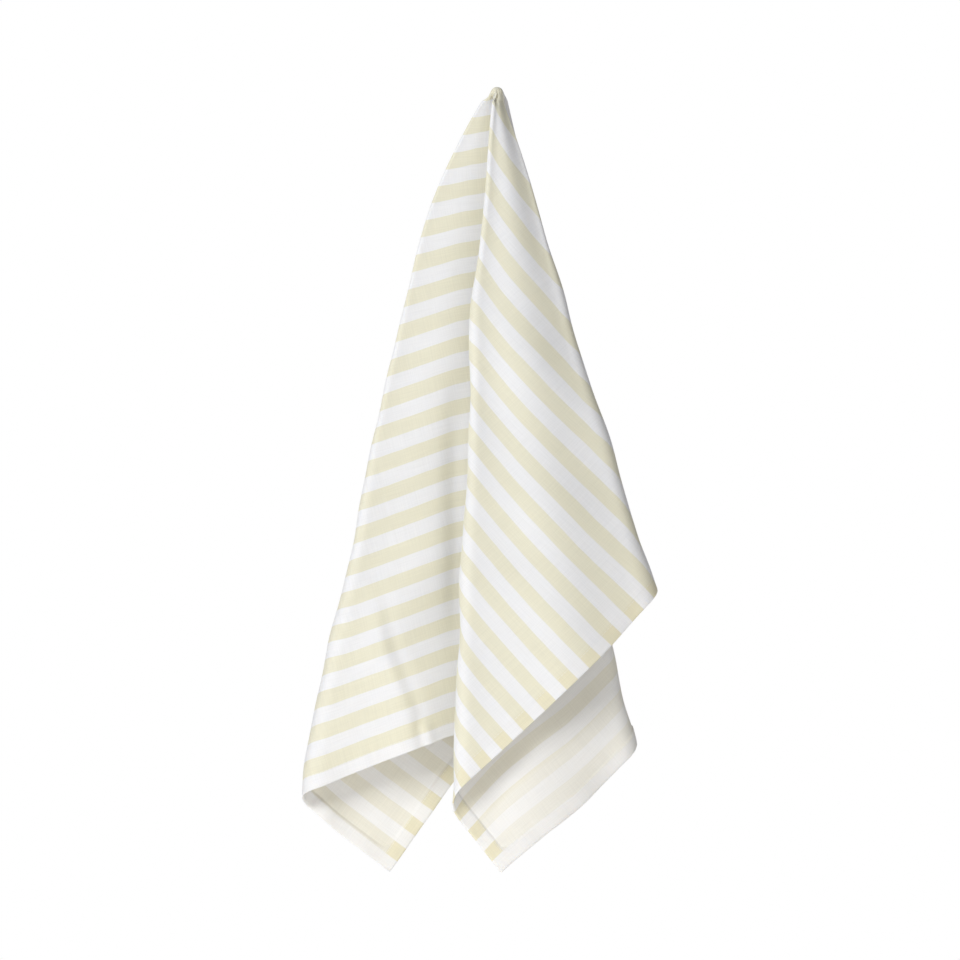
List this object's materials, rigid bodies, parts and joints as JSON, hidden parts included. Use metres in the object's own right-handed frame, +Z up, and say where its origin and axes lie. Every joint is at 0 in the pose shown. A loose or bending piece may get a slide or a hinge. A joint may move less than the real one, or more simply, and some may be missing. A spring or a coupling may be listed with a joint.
{
  "type": "tea towel",
  "caption": "Rectangular hemmed cotton towel with pale stripes, hanging in long folds from one point near the middle of a long side.",
  "frame": {"origin": "under the gathered tip from which the towel hangs", "axes": "+Z up, -Y to the front of the hanging towel, +X to its right seen from the front"},
  "size_m": [0.2722, 0.1418, 0.6048],
  "materials": {
    "cloth": "matte woven cotton, off-white with pale yellow stripes"
  },
  "bodies": {
    "root": {"towel": "cloth"}
  },
  "joints": []
}
